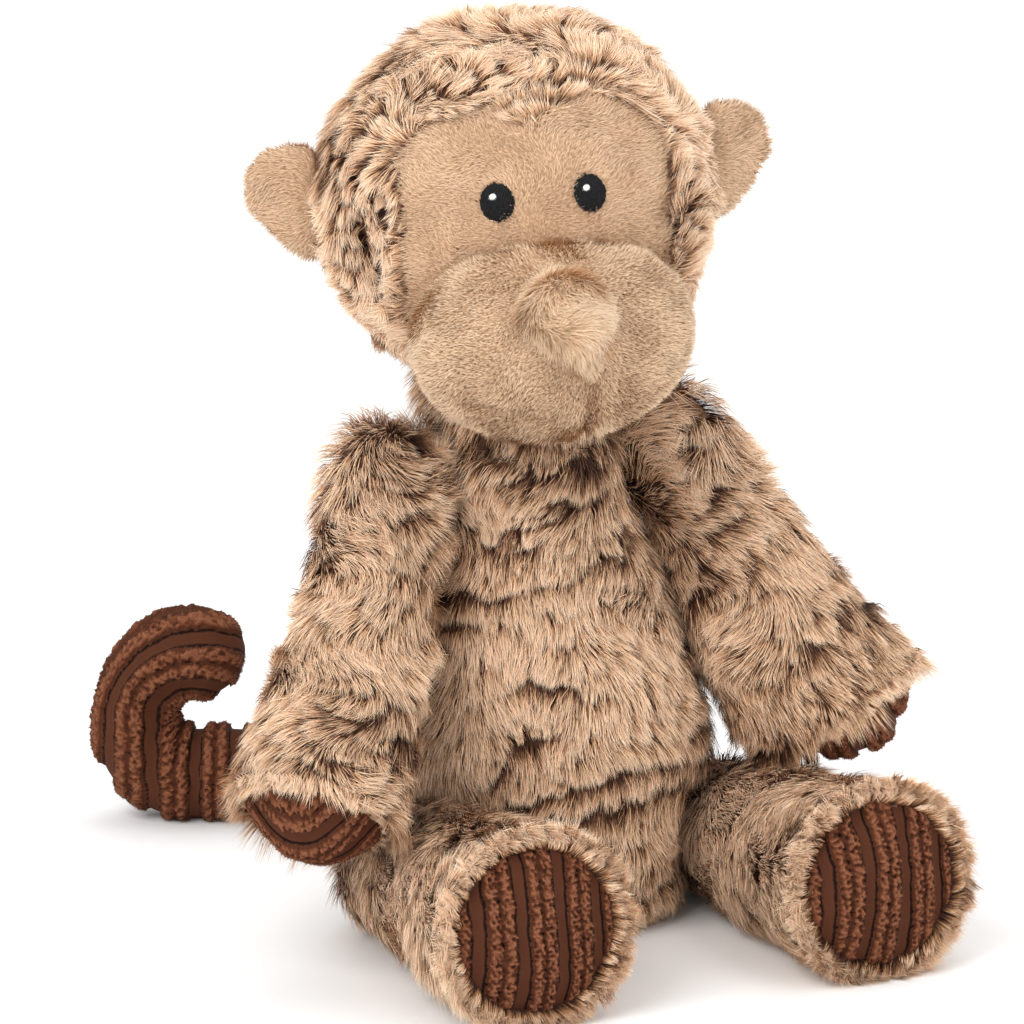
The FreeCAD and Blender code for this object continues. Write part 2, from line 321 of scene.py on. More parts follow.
def strands(name, rows, widths, sides, normals, classes):
    """A mesh of pointed blades. rows are each blade's points from root to tip, as (row, blade, xyz)."""
    blades, last = rows.shape[1], len(rows) - 1
    per_blade = 2 * last + 1
    # Each blade's front is the side that its shading normal is on
    sides = sides * np.where(dot(np.cross(sides, rows[-1] - rows[0]), normals) < 0, -1, 1)
    vertices = np.empty((blades, per_blade, 3))
    along = np.empty(per_blade)
    for row in range(last):
        half = sides * (widths[row] / 2)[:, None]
        vertices[:, 2 * row] = rows[row] - half
        vertices[:, 2 * row + 1] = rows[row] + half
        along[2 * row : 2 * row + 2] = row / last
    vertices[:, -1] = rows[-1]
    along[-1] = 1
    vertices[:, :, 2] = np.maximum(vertices[:, :, 2], FLOOR_CLEAR)
    pattern, sizes = [], []
    for row in range(last - 1):
        start = 2 * row
        pattern += [start, start + 1, start + 3, start + 2]
        sizes.append(4)
    pattern += [2 * last - 2, 2 * last - 1, 2 * last]
    sizes.append(3)
    pattern = np.array(pattern)
    corners = (np.arange(blades)[:, None] * per_blade + pattern[None]).ravel()
    piece = mesh_object(name, vertices.reshape(-1, 3), np.tile(sizes, blades), corners)
    layer = piece.data.uv_layers.new(name="OFBake")
    across = np.repeat(classes, len(pattern))
    inset = 0.01
    height = np.tile(inset + (1 - 2 * inset) * along[pattern], blades)
    layer.data.foreach_set("uv", np.stack([across, height], 1).astype(np.float32).ravel())
    shading = np.repeat(normals[:, None], per_blade, 1).reshape(-1, 3)
    piece.data.normals_split_custom_set_from_vertices(shading.astype(np.float32))
    return piece


def fur(name, roots, ups, comb, seed, length, lift, shade, flow, clump=0.6, tuft=4.5 * MM, rows=9 * MM,
        layering=0.6, wander=0.5, spread=(1, 1, 1), ragged=0.5):
    """Long pile: curved blades, combed along a direction and drawn together into tufts.

    flow is how far along the combing each root is, in metres. The pile lies in rows across it, like
    shingles: a blade near the end of its row is short and stands up, and dark roots show behind it.
    The blades at the start of the next row, where those roots show, are also coloured darker: painted
    shade in the parting.
    """
    draw = np.random.default_rng(seed)
    amount = len(roots)
    comb = flattened(comb, ups)
    swing = wander * waves(roots, 16 * MM, seed + 1) + 0.25 * wander * waves(roots, 6 * MM, seed + 2)
    comb = spun(comb, ups, swing + draw.normal(0, 0.14, amount))
    middle, number = tufts(roots, tuft, seed + 3)
    blotch = waves(roots, 19 * MM, seed + 5)
    layered = held(blotch * 0.6 + layering)
    breaks = ragged * waves(roots, 17 * MM, seed + 4, spread) + 0.12 * waves(roots, 4 * MM, seed + 6)
    left = (1 - (flow / rows + breaks) % 1) * rows
    edge = held(1 - left / (3.5 * MM)) * layered
    # Painted shade: blades at the start of a row, in the parting after the row before, are coloured darker
    behind = held((left - 0.80 * rows) / (0.20 * rows)) * layered
    rise = lift + 0.45 * edge + 0.16 * (number - 0.5) + draw.normal(0, 0.08, amount)
    rise = np.clip(rise, 0.10, 1.40)[:, None]
    long = length * (0.85 + 0.3 * number) * draw.uniform(0.75, 1.10, amount)
    long = (long * (1 - layered) + np.minimum(long, left + 3.5 * MM) * layered)[:, None]
    first = comb * np.cos(rise + 0.25) + ups * np.sin(rise + 0.25)
    second = comb * np.cos(rise - 0.35) + ups * np.sin(rise - 0.35)
    start = roots - ups * 0.4 * MM
    bend = start + first * long * 0.5
    tip = bend + second * long * 0.5
    pull = middle - roots
    pull = pull - dot(pull, ups) * ups
    bend = bend + pull * clump * 0.45
    tip = tip + pull * clump
    side = spun(unit(np.cross(ups, tip - start)), unit(tip - start), draw.normal(0, 0.5, amount))
    own = unit(np.cross(tip - start, side))
    own = own * np.sign(dot(own, ups) + 1e-9)
    shading = unit(ups * 0.75 + own * 0.45 + draw.normal(0, 0.05, (amount, 3)))
    wide = FUR_WIDTH * draw.uniform(0.7, 1.35, amount)
    dark = shade + 0.52 * behind + 0.06 * blotch + 0.32 * (number - 0.5) + draw.normal(0, 0.14, amount)
    own_tuft = cell_draws(np.floor(middle / tuft).astype(np.int64) + 4096, seed)[:, 0]
    tint = draw.uniform(size=amount) * 0.6 + 0.4 * own_tuft
    return strands(name, np.stack([start, bend, tip]), [wide, wide * 0.85], side, shading,
                   class_coordinate(dark, tint))


# ---------------------------------------------------------------- materials


def material(name, rough=0.8, sheen=0.0, specular=0.25):
    """A material, its node tree's nodes and links, and its shader."""
    made = bpy.data.materials.new(name)
    made.use_nodes = True
    tree_of = made.node_tree
    shader = tree_of.nodes["Principled BSDF"]
    shader.inputs["Roughness"].default_value = rough
    shader.inputs["Sheen Weight"].default_value = sheen
    shader.inputs["Specular IOR Level"].default_value = specular
    return made, tree_of, shader


def node(tree_of, kind, settings=None, **inputs):
    """A shader node. An input given as (node, output) is linked, and any other is set."""
    made = tree_of.nodes.new(kind)
    for key, value in (settings or {}).items():
        setattr(made, key, value)
    for key, value in inputs.items():
        slot = made.inputs[int(key[1:])] if key[0] == "i" and key[1:].isdigit() else made.inputs[key]
        if isinstance(value, tuple) and len(value) == 2 and isinstance(value[0], bpy.types.Node):
            tree_of.links.new(value[0].outputs[value[1]], slot)
        else:
            slot.default_value = value
    return made


def sums(tree_of, operation, first, second=None):
    values = {"i0": first}
    if second is not None:
        values["i1"] = second
    return node(tree_of, "ShaderNodeMath", {"operation": operation}, **values), 0


def ramp(tree_of, factor, stops):
    made = node(tree_of, "ShaderNodeValToRGB", Fac=factor)
    colours = made.color_ramp
    colours.interpolation = "EASE"
    while len(colours.elements) < len(stops):
        colours.elements.new(0.5)
    for element, (place, colour) in zip(colours.elements, stops):
        element.position = place
        element.color = (*colour, 1)
    return made, "Color"


def pile_material(name, stops, shade_reach=0.75, tint_low=0.82, tint_high=1.12, rough=0.75):
    """Fibres that change colour from root to tip; darker classes keep the root's colour longer."""
    made, tree_of, shader = material(name, rough, 0.04, 0.15)
    place = node(tree_of, "ShaderNodeUVMap", {"uv_map": "OFBake"})
    parts = node(tree_of, "ShaderNodeSeparateXYZ", Vector=(place, "UV"))
    number = sums(tree_of, "FLOOR", sums(tree_of, "MULTIPLY", (parts, "X"), SHADES * TINTS))
    shade = sums(tree_of, "FLOOR", sums(tree_of, "DIVIDE", number, TINTS))
    tint = sums(tree_of, "SUBTRACT", number, sums(tree_of, "MULTIPLY", shade, TINTS))
    darker = sums(tree_of, "MULTIPLY", shade, shade_reach / (SHADES - 1))
    along = sums(tree_of, "SUBTRACT", (parts, "Y"), darker)
    colour = ramp(tree_of, along, stops)
    value = sums(tree_of, "MULTIPLY_ADD", tint, (tint_high - tint_low) / (TINTS - 1))
    value[0].inputs[2].default_value = tint_low
    varied = node(tree_of, "ShaderNodeHueSaturation", Color=colour, Value=value)
    tree_of.links.new(varied.outputs["Color"], shader.inputs["Base Color"])
    return made


def dress(piece, made, slot_name, body, *replaced, fill=None):
    """Gives the piece its material and its body, and hides the CAD nodes that it stands for; its slot name is
    not used.
    """
    piece.data.materials.clear()
    piece.data.materials.append(made)
    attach(piece, body)
    if replaced:
        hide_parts(*replaced)
    return piece


def surface(tree_of, shader, colour, height, strength, distance):
    """Gives the shader its colour, and a fine relief that follows the height."""
    relief = node(tree_of, "ShaderNodeBump", Height=height, Strength=strength, Distance=distance)
    tree_of.links.new(colour[0].outputs[colour[1]], shader.inputs["Base Color"])
    tree_of.links.new(relief.outputs["Normal"], shader.inputs["Normal"])


def cloth_material(name, dark, light, grain=0.9 * MM):
    """A fine knitted cloth, darker between its stitches and faintly blotched."""
    made, tree_of, shader = material(name, 0.9, 0.0, 0.1)
    place = node(tree_of, "ShaderNodeTexCoord")
    stitches = node(tree_of, "ShaderNodeTexVoronoi", Vector=(place, "Object"), Scale=1 / grain)
    blotches = node(tree_of, "ShaderNodeTexNoise", Vector=(place, "Object"), Scale=90.0, Detail=3.0)
    mixed = sums(tree_of, "MULTIPLY", (stitches, "Distance"), (blotches, "Fac"))
    colour = ramp(tree_of, mixed, [(0.05, light), (0.5, dark)])
    surface(tree_of, shader, colour, (stitches, "Distance"), 0.15, grain)
    return made


def corduroy_material(name, stops, mottle=0.25):
    """Corduroy: its colour follows how high the pile stands, with nubs lighter than the ground.

    The stored lightness that it reads is partly painted shade, darker low in the gaps and on the wales'
    flanks.
    """
    made, tree_of, shader = material(name, 0.85, 0.0, 0.1)
    place = node(tree_of, "ShaderNodeTexCoord")
    level = node(tree_of, "ShaderNodeAttribute", {"attribute_name": "level"})
    spots = node(tree_of, "ShaderNodeTexNoise", Vector=(place, "Object"), Scale=900.0, Detail=3.0,
                 Roughness=0.7)
    offset = sums(tree_of, "MULTIPLY_ADD", (spots, "Fac"), mottle)
    offset[0].inputs[2].default_value = -mottle / 2
    colour = ramp(tree_of, sums(tree_of, "ADD", (level, "Fac"), offset), stops)
    surface(tree_of, shader, colour, (spots, "Fac"), 0.3, 0.4 * MM)
    return made


def thread_material(name, dark, light):
    made, tree_of, shader = material(name, 0.6, 0.0, 0.2)
    place = node(tree_of, "ShaderNodeTexCoord")
    twist = node(tree_of, "ShaderNodeTexNoise", Vector=(place, "Object"), Scale=1500.0, Detail=2.0)
    colour = ramp(tree_of, (twist, "Fac"), [(0.3, dark), (0.7, light)])
    surface(tree_of, shader, colour, (twist, "Fac"), 0.2, 0.1 * MM)
    return made


ROOT_BROWN, MID_BROWN = (0.050, 0.020, 0.012), (0.19, 0.084, 0.042)
TAN, CREAM, PALE = (0.66, 0.39, 0.22), (0.93, 0.67, 0.46), (0.97, 0.80, 0.62)
RUST, COCOA, CHOCOLATE = (0.150, 0.049, 0.023), (0.080, 0.025, 0.012), (0.014, 0.005, 0.003)

FUR = pile_material(
    "long_fur", [(0.0, ROOT_BROWN), (0.22, MID_BROWN), (0.42, TAN), (0.64, CREAM), (1.0, PALE)])
RUFF = pile_material(
    "rim_fur", [(0.0, ROOT_BROWN), (0.22, MID_BROWN), (0.40, (0.48, 0.24, 0.11)), (0.62, CREAM), (1.0, PALE)])
FACE_PILE = pile_material(
    "face_pile", [(0.0, (0.50, 0.30, 0.17)), (0.5, (0.80, 0.55, 0.36)), (1.0, (0.94, 0.71, 0.50))], 0.6)
# The muzzle pile's dark low stops colour the seam's and smile's creases and the blades' roots: painted shade
# in the creases and deep in the pile
MUZZLE_PILE = pile_material(
    "muzzle_pile", [(0.0, (0.22, 0.10, 0.05)), (0.3, (0.55, 0.34, 0.19)), (0.5, (0.84, 0.60, 0.40)),
                    (1.0, (0.97, 0.74, 0.53))], 1.0)
NOSE_PILE = pile_material(
    "nose_pile", [(0.0, (0.62, 0.38, 0.21)), (0.4, (0.87, 0.61, 0.39)), (1.0, (0.98, 0.80, 0.61))], 0.6)
WALE_FUZZ = pile_material("wale_fuzz", [(0.0, COCOA), (0.6, RUST), (1.0, (0.24, 0.092, 0.046))], 0.6)
FUR_GROUND = cloth_material("fur_ground", (0.10, 0.048, 0.028), (0.24, 0.125, 0.075))
FACE_GROUND = cloth_material("face_ground", (0.46, 0.29, 0.17), (0.62, 0.42, 0.27))
# The corduroy's darkest stops, at low lightness, are painted shade in the gaps and on the wales' flanks, over
# its own browns
CORDUROY = corduroy_material(
    "corduroy", [(0.05, CHOCOLATE), (0.22, (0.085, 0.030, 0.015)), (0.5, COCOA), (0.75, RUST),
                 (1.0, (0.24, 0.090, 0.045))])
BLACK_THREAD = thread_material("black_thread", (0.002, 0.002, 0.0025), (0.010, 0.010, 0.012))
WHITE_THREAD = thread_material("white_thread", (0.72, 0.72, 0.70), (0.92, 0.92, 0.90))
TAPE = cloth_material("seam_tape", (0.30, 0.22, 0.15), (0.55, 0.44, 0.32), 0.7 * MM)


# ---------------------------------------------------------------- frames of the parts

lean_axis = unit(joint("neck_turn")[1])
HEAD_UP = lean_axis * np.sign(lean_axis[2])
EYES = {side: centre(f"eye_{side}") for side in SIDES}
head_across = EYES["left"] - EYES["right"]
HEAD_LEFT = unit(head_across - dot(head_across, HEAD_UP) * HEAD_UP)
HEAD_FRONT = np.cross(HEAD_LEFT, HEAD_UP)
HEAD_MIDDLE = centre("head_cover")
MUZZLE_MIDDLE = centre("muzzle_cover")
NOSE_MIDDLE = centre("nose_cover")


def in_head(points, origin):
    """How far the points are to the toy's left, to the front and up, seen from the origin."""
    moved = points - origin
    return np.stack([moved @ HEAD_LEFT, moved @ HEAD_FRONT, moved @ HEAD_UP], -1)


class Limb:
    """An arm or a leg: where it starts, the direction to its pad, and the pad's size."""

    def __init__(self, kind, side):
        self.side, self.kind, self.body = side, kind, f"{kind}_{side}"
        self.root = "hip" if kind == "leg" else "shoulder"
        self.pad_node = f"sole_pad_{side}" if kind == "leg" else f"paw_pad_{side}"
        self.start = joint(f"{self.root}_swing_{side}")[0]
        pad = node_points(self.pad_node)
        self.axis = unit(pad.mean(0) - self.start)
        along = pad @ self.axis
        self.pad_middle = self.start + self.axis * ((along.min() + along.max()) / 2 - self.start @ self.axis)
        offsets = pad - self.pad_middle
        offsets = offsets - dot(offsets, self.axis) * self.axis
        self.pad_r = np.linalg.norm(offsets, axis=1).max()
        self.pad_rim = along.min() - self.start @ self.axis
        self.pad_top = along.max() - self.start @ self.axis
        self.away = np.array([1.0 if side == "left" else -1.0, 0, 0])
        self.side_way = unit(np.cross(self.axis, UP))
        self.up_way = np.cross(self.side_way, self.axis)

    def along(self, points):
        return (points - self.start) @ self.axis

    def outward(self, points):
        return flattened(points - self.start, np.broadcast_to(self.axis, points.shape))

    def radius(self, points):
        offsets = points - self.start
        return np.linalg.norm(offsets - dot(offsets, self.axis) * self.axis, axis=1)


LIMBS = [Limb(kind, side) for kind in ("arm", "leg") for side in SIDES]


# ---------------------------------------------------------------- skins


def outer_shell(name, node_name):
    """An even closed mesh of a hollow CAD cover's outside, hollows for the limbs included."""
    shape = bmesh.new()
    shape.from_mesh(frame["nodes"][node_name].data)
    bmesh.ops.remove_doubles(shape, verts=shape.verts, dist=0.01 * MM)
    islands, seen = [], set()
    for first in shape.verts:
        if first in seen:
            continue
        island, waiting = [], [first]
        seen.add(first)
        while waiting:
            vert = waiting.pop()
            island.append(vert)
            for edge in vert.link_edges:
                other = edge.other_vert(vert)
                if other not in seen:
                    seen.add(other)
                    waiting.append(other)
        islands.append(island)

    def extent(island):
        return max(v.co.z for v in island) - min(v.co.z for v in island)

    islands.sort(key=extent)
    spare = [v for island in islands[:-1] for v in island]
    bmesh.ops.delete(shape, geom=spare, context="VERTS")
    return remeshed(object_of(name, shape), VOXEL)


head_skin = remeshed_hull("head_skin", node_points("head_cover", "face_panel"))
muzzle_skin = remeshed_hull("muzzle_skin", node_points("muzzle_cover"), 3.5 * MM)
torso_skin = outer_shell("torso_skin", "torso_cover")
neck_skin = remeshed_hull("neck_skin", node_points("neck_cover"))
limb_skins = {}
for limb in LIMBS:
    limb_skins[limb] = remeshed_hull(f"{limb.kind}_skin_{limb.side}",
                                     node_points(f"{limb.kind}_cover_{limb.side}", limb.pad_node))
skins = [head_skin, muzzle_skin, torso_skin, neck_skin, *limb_skins.values()]
for skin in skins:
    move_vertices(skin, coordinates(skin.data) - vertex_normals(skin.data) * DRAWN_IN)
inflate(skins)

for skin in skins:
    points = coordinates(skin.data)
    points[:, 2] = np.maximum(points[:, 2], 2 * FLOOR_CLEAR)
    move_vertices(skin, points)

# The arms are full at the shoulder, on their outer and upper side, and beside the torso lower down
for limb, skin in limb_skins.items():
    if limb.kind == "arm":
        points, normals = coordinates(skin.data), vertex_normals(skin.data)
        along = limb.along(points)
        upper, inner = unit(limb.away + 0.8 * UP), unit(-limb.away - 0.3 * UP)
        at_top = held(normals @ upper) * held(1 - along / SHOULDER_REACH)
        forearm = held((along - FOREARM_START) / FOREARM_RISE)
        beside = held(normals @ inner) * (forearm * held((limb.pad_rim - along) / (8 * MM) + 0.35))
        points = points + upper * (SHOULDER_FULL * at_top)[:, None]
        move_vertices(skin, points + inner * (FOREARM_FULL[limb.side] * beside)[:, None])

# The seam down the middle of the muzzle, and the faint crease of a smile to each side of it
SEAM_LEFT, SEAM_DEPTH, SEAM_WIDTH = 7.0 * MM, 2.6 * MM, 1.7 * MM
SEAM_TOP, SEAM_FADE, SEAM_BACK = -4 * MM, 6 * MM, -36 * MM
SMILE_IN, SMILE_OUT, SMILE_DEPTH = 9 * MM, 31 * MM, 0.9 * MM
SMILE_LOW, SMILE_REACH, SMILE_WIDTH = -17 * MM, 34 * MM, 1.3 * MM


def seam_nearness(points):
    """1 on the muzzle's middle seam below the nose, falling to 0 a few millimetres from it."""
    local = in_head(points, NOSE_MIDDLE)
    below = held((SEAM_TOP - local[:, 2]) / SEAM_FADE)
    return np.exp(-(((local[:, 0] - SEAM_LEFT) / SEAM_WIDTH) ** 2)) * below * (local[:, 1] > SEAM_BACK)


def smile_nearness(points):
    """1 on the smile's crease, falling to 0 beside it and towards its ends."""
    local = in_head(points, MUZZLE_MIDDLE)
    x = np.abs(local[:, 0])
    middle = (SMILE_IN + SMILE_OUT) / 2
    ends = held(1 - ((x - middle) / (SMILE_OUT - middle)) ** 2)
    line = SMILE_LOW + (x / SMILE_REACH) ** 2 * 9 * MM
    return np.exp(-(((local[:, 2] - line) / SMILE_WIDTH) ** 2)) * ends * (local[:, 1] > 0)


points = coordinates(muzzle_skin.data)
sink = SEAM_DEPTH * seam_nearness(points) + SMILE_DEPTH * smile_nearness(points)
move_vertices(muzzle_skin, points - vertex_normals(muzzle_skin.data) * sink[:, None])

dress(head_skin, FUR_GROUND, "fur", "head", "head_cover", "head_stuffing", fill=0.9)
dress(muzzle_skin, FACE_GROUND, "muzzle_plush", "head", "muzzle_cover", "muzzle_stuffing", fill=0.85)
dress(torso_skin, FUR_GROUND, "fur", "torso", "torso_cover", "torso_stuffing", "seat_pellet_pouch", fill=0.75)
dress(neck_skin, FUR_GROUND, "fur", "neck", "neck_cover", "neck_stuffing", fill=0.7)
for limb, skin in limb_skins.items():
    inside = f"{limb.kind}_stuffing_{limb.side}"
    dress(skin, FUR_GROUND, "fur", limb.body, f"{limb.kind}_cover_{limb.side}", inside, fill=0.75)

# ---------------------------------------------------------------- long fur

SKIN_TREES = {skin.name: tree(skin) for skin in skins}


def covered(points, skin_name, reach):
    """Which points are inside a skin, or nearer to it than reach."""
    found = []
    faces, smooth = SKIN_TREES[skin_name]
    for point in points:
        place, _, index, gap = faces.find_nearest(Vector(point))
        found.append(gap < reach or smooth[index] @ (point - np.array(place)) < 0)
    return np.array(found, bool)


def clear_of(skin_names, reach):
    def keep(points):
        free = np.ones(len(points), bool)
        for name in skin_names:
            free[free] = ~covered(points[free], name, reach)
        return free
    return keep


MASK_MARGIN = 0.4 * MM
LIMB_NAMES = [skin.name for skin in limb_skins.values()]
panel_tree, _ = tree(frame["nodes"]["face_panel"])
cover_tree, _ = tree(frame["nodes"]["head_cover"])


def on_panel(points, margin=0.0):
    """How much nearer the points are to the face panel than to the furred cover, past the margin."""
    found = []
    for point in points:
        spot = Vector(point)
        found.append(cover_tree.find_nearest(spot)[3] - panel_tree.find_nearest(spot)[3] > margin)
    return np.array(found)


def head_fur():
    face_middle = HEAD_MIDDLE + HEAD_FRONT * 45 * MM + HEAD_UP * 4 * MM
    for name, seed, facing in (("head_fur_front", 11, 1), ("head_fur_back", 15, -1)):
        def keep(points):
            free = in_head(points, HEAD_MIDDLE)[:, 1] * facing > 0
            free[free] = ~on_panel(points[free], MASK_MARGIN)
            free[free] = clear_of(["muzzle_skin", "neck_skin"], 0.5 * MM)(points[free])
            return free

        roots, ups = scattered(head_skin, FUR_DENSITY, seed, keep)
        local = in_head(roots, HEAD_MIDDLE)
        forward = held((local[:, 1:2] + 25 * MM) / (50 * MM))
        comb = unit(roots - face_middle) * forward - HEAD_UP * (0.35 + 0.65 * (1 - forward))
        # Painted shade: the fur is coloured darker low on the head, towards the jaw and neck
        low = held((-local[:, 2] - 20 * MM) / (25 * MM))
        flow = np.linalg.norm(roots - face_middle, axis=1)
        made = fur(name, roots, ups, comb, 101, length=9.5 * MM, lift=0.66, shade=0.16 * low - 0.08,
                   flow=flow, clump=0.74, tuft=6 * MM, rows=10 * MM, layering=0.5, wander=0.95)
        dress(made, FUR, "fur", "head")


def torso_fur():
    names = LIMB_NAMES + ["neck_skin"]
    low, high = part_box("torso_cover")
    back = 0.5 * (low.y + high.y)
    for name, seed, facing in (("torso_fur_front", 12, -1), ("torso_fur_back", 13, 1)):
        def keep(points):
            half = (points[:, 1] - back) * facing > 0
            half[half] = clear_of(names, 1.5 * MM)(points[half])
            return half

        roots, ups = scattered(torso_skin, FUR_DENSITY, seed, keep)
        comb = np.tile(-UP, (len(roots), 1)) + unit(roots * [1, 1, 0]) * 0.1
        height = (roots[:, 2] - low.z) / (high.z - low.z)
        # Painted shade: the fur is coloured darker over the torso's top fifth, below the head
        shade = 0.12 + 0.12 * held((height - 0.8) / 0.2)
        made = fur(name, roots, ups, comb, 102, length=11 * MM, lift=0.48, shade=shade, flow=-roots[:, 2],
                   clump=0.62, tuft=3.6 * MM, rows=12 * MM, layering=0.62, wander=0.40, spread=(2.2, 2.2, 1),
                   ragged=0.35)
        dress(made, FUR, "fur", "torso")


def neck_fur():
    # Fur all over, because turning the head shows other parts of the neck
    roots, ups = scattered(neck_skin, 0.8 * FUR_DENSITY, 14)
    made = fur("neck_fur", roots, ups, np.tile(-UP, (len(roots), 1)), 103, length=15 * MM, lift=0.85,
               shade=0.25, flow=-roots[:, 2])
    dress(made, FUR, "fur", "neck")


def limb_fur(limb, seed):
    is_arm = limb.kind == "arm"

    def keep(points):
        bare = (limb.radius(points) < limb.pad_r + 0.3 * MM) & (limb.along(points) > limb.pad_rim - 1 * MM)
        free = ~bare
        free[free] = clear_of(["torso_skin"], 0.8 * MM)(points[free])
        return free

    roots, ups = scattered(limb_skins[limb], FUR_DENSITY, seed, keep)
    along = limb.along(roots)
    near_rim = held((along - limb.pad_rim + 12 * MM) / (12 * MM))[:, None]
    sleeve = held(1 - along / (16 * MM))[:, None] * is_arm
    comb = limb.axis + 0.35 * (-UP) + limb.outward(roots) * 0.6 * near_rim
    comb = comb + (0.4 * limb.away - 0.8 * UP) * sleeve
    root_end = held(1 - along / (22 * MM))
    if is_arm:
        # Painted shade: the arm's fur is coloured darker on its inner side, towards the torso
        inner = held(-(limb.outward(roots) @ limb.away))
        shade = 0.10 - 0.08 * root_end + 0.20 * inner
    else:
        rings = 0.5 + 0.5 * np.sin(along / (7 * MM) * 2 * math.pi + 0.8 * waves(roots, 25 * MM, seed))
        shade = 0.04 + 0.34 * rings * held(1 - along / (48 * MM)) + 0.06 * root_end
    flare = 0.85 * held(ups @ limb.axis * 1.6) * (along > limb.pad_rim - 12 * MM)
    cuff = near_rim[:, 0] * is_arm
    puff = held(1 - along / (26 * MM)) * is_arm
    made = fur(f"{limb.kind}_fur_{limb.side}", roots, ups, comb, seed + 100,
               length=(11.5 + 5 * puff + 4 * cuff) * MM, lift=0.46 + flare + 0.25 * puff, shade=shade,
               flow=along, clump=0.62, tuft=4.2 * MM, rows=12 * MM, layering=0.5 - 0.5 * puff,
               wander=0.60 + 0.9 * puff)
    dress(made, FUR, "fur", limb.body)


def rim_fur(limb, seed):
    """The ruff round a sole or palm: it flares outwards, pale outside and rusty towards the pad."""
    draw = np.random.default_rng(seed)
    amount = RUFF_BLADES[limb.kind]
    turn = draw.uniform(0, 2 * math.pi, amount)
    depth = draw.uniform(size=amount)
    ring = np.outer(np.cos(turn), limb.side_way) + np.outer(np.sin(turn), limb.up_way)
    radius = limb.pad_r - 0.8 * MM + depth * 4.6 * MM
    back = limb.pad_rim + 0.3 * MM - depth**2 * 3.0 * MM
    place = limb.start + ring * radius[:, None] + limb.axis * back[:, None]
    slope = depth[:, None]
    ups = unit(ring * (0.25 + 0.75 * slope) + limb.axis * (1.0 - 0.55 * slope))
    comb = ring * (0.9 - 0.6 * slope) + limb.axis * (0.2 + 0.5 * slope)
    long = RUFF_LENGTH[limb.kind] * (0.65 + 0.35 * depth)
    name = f"{limb.kind}_ruff_{limb.side}"
    made = fur(name, place, ups, comb, seed, length=long, lift=0.95, shade=0.36 - 0.46 * depth,
               flow=turn * limb.pad_r, clump=0.5, tuft=4 * MM, rows=9 * MM, layering=0.0, wander=0.45)
    dress(made, RUFF, "fur", limb.body)


head_fur()
torso_fur()
neck_fur()
for number, limb in enumerate(LIMBS):
    limb_fur(limb, 20 + number)
    rim_fur(limb, 30 + number)

# ---------------------------------------------------------------- face, muzzle, nose and ears


def short_pile(name, roots, ups, comb, seed, length, lift, shade, pile, slot_name, body, width=0.34 * MM,
               wander=0.5, clump=0.0, tuft=3 * MM):
    """Short pile: one blade to a hair, brushed along a direction."""
    draw = np.random.default_rng(seed)
    amount = len(roots)
    swing = wander * waves(roots, 9 * MM, seed + 1) + draw.normal(0, 0.3, amount)
    comb = spun(flattened(comb, ups), ups, swing)
    rise = lift + 0.12 * waves(roots, 5 * MM, seed + 2) + draw.normal(0, 0.15, amount)
    rise = np.clip(rise, 0.1, 1.4)[:, None]
    long = (length * draw.uniform(0.7, 1.2, amount))[:, None]
    start = roots - ups * 0.2 * MM
    tip = start + (comb * np.cos(rise) + ups * np.sin(rise)) * long
    if clump:
        middle, _ = tufts(roots, tuft, seed + 3)
        pull = middle - roots
        tip = tip + (pull - dot(pull, ups) * ups) * clump
    side = spun(unit(np.cross(ups, tip - start)), unit(tip - start), draw.normal(0, 0.4, amount))
    shading = unit(ups + draw.normal(0, 0.12, (amount, 3)))
    dark = shade + 0.10 * waves(roots, 8 * MM, seed + 4) + draw.normal(0, 0.12, amount)
    made = strands(name, np.stack([start, tip]), [width * draw.uniform(0.7, 1.3, amount)], side, shading,
                   class_coordinate(dark, draw.uniform(size=amount)))
    return dress(made, pile, slot_name, body)


# The face's own cloth: the head's skin where the panel is
FACE_CLOTH = 0.6 * MM
face_faces = bmesh.new()
face_faces.from_mesh(head_skin.data)
middles = np.array([face.calc_center_median() for face in face_faces.faces])
away = [face for face, kept in zip(list(face_faces.faces), on_panel(middles, -1.0 * MM)) if not kept]
bmesh.ops.delete(face_faces, geom=away, context="FACES")
face_cloth = object_of("face_cloth", face_faces)
thick = face_cloth.modifiers.new("thick", "SOLIDIFY")
thick.thickness, thick.offset = FACE_CLOTH, 1
applied(face_cloth)
dress(face_cloth, FACE_GROUND, "face_plush", "head", "face_panel")

EYE_HALF, GLINT_HALF = (4.5 * MM, 5.1 * MM), 1.0 * MM


def eye_frame(side):
    outward = unit(EYES[side] - HEAD_MIDDLE)
    faces, _ = SKIN_TREES["head_skin"]
    hit, normal, _, _ = faces.ray_cast(Vector(EYES[side] + outward * 30 * MM), Vector(-outward))
    normal = np.array(normal)
    across = unit(np.cross(HEAD_UP, normal)) * -1
    return np.array(hit) + normal * 0.7 * MM, across, np.cross(across, normal) * -1, normal


def clear_of_eyes(points):
    free = np.ones(len(points), bool)
    for side in SIDES:
        middle, across, up, _ = eye_frame(side)
        offsets = points - middle
        oval = (offsets @ across / EYE_HALF[0]) ** 2 + (offsets @ up / EYE_HALF[1]) ** 2
        free &= oval > 0.85
    return free


def face_pile():
    def keep(points):
        free = on_panel(points, -0.5 * MM) & clear_of_eyes(points)
        free[free] = clear_of(["muzzle_skin"], 0.2 * MM)(points[free])
        return free

    roots, ups = scattered(head_skin, FACE_DENSITY, 41, keep)
    local = in_head(roots, HEAD_MIDDLE)
    comb = HEAD_UP * 0.4 + np.outer(np.tanh(local[:, 0] / (12 * MM)), HEAD_LEFT) * 0.8
    edge = held(waves(roots, 20 * MM, 5)) * 0.15
    short_pile("face_pile", roots + ups * FACE_CLOTH, ups, comb, 141, length=2.6 * MM, lift=0.75,
               shade=0.25 + edge, pile=FACE_PILE, slot_name="face_plush", body="head")


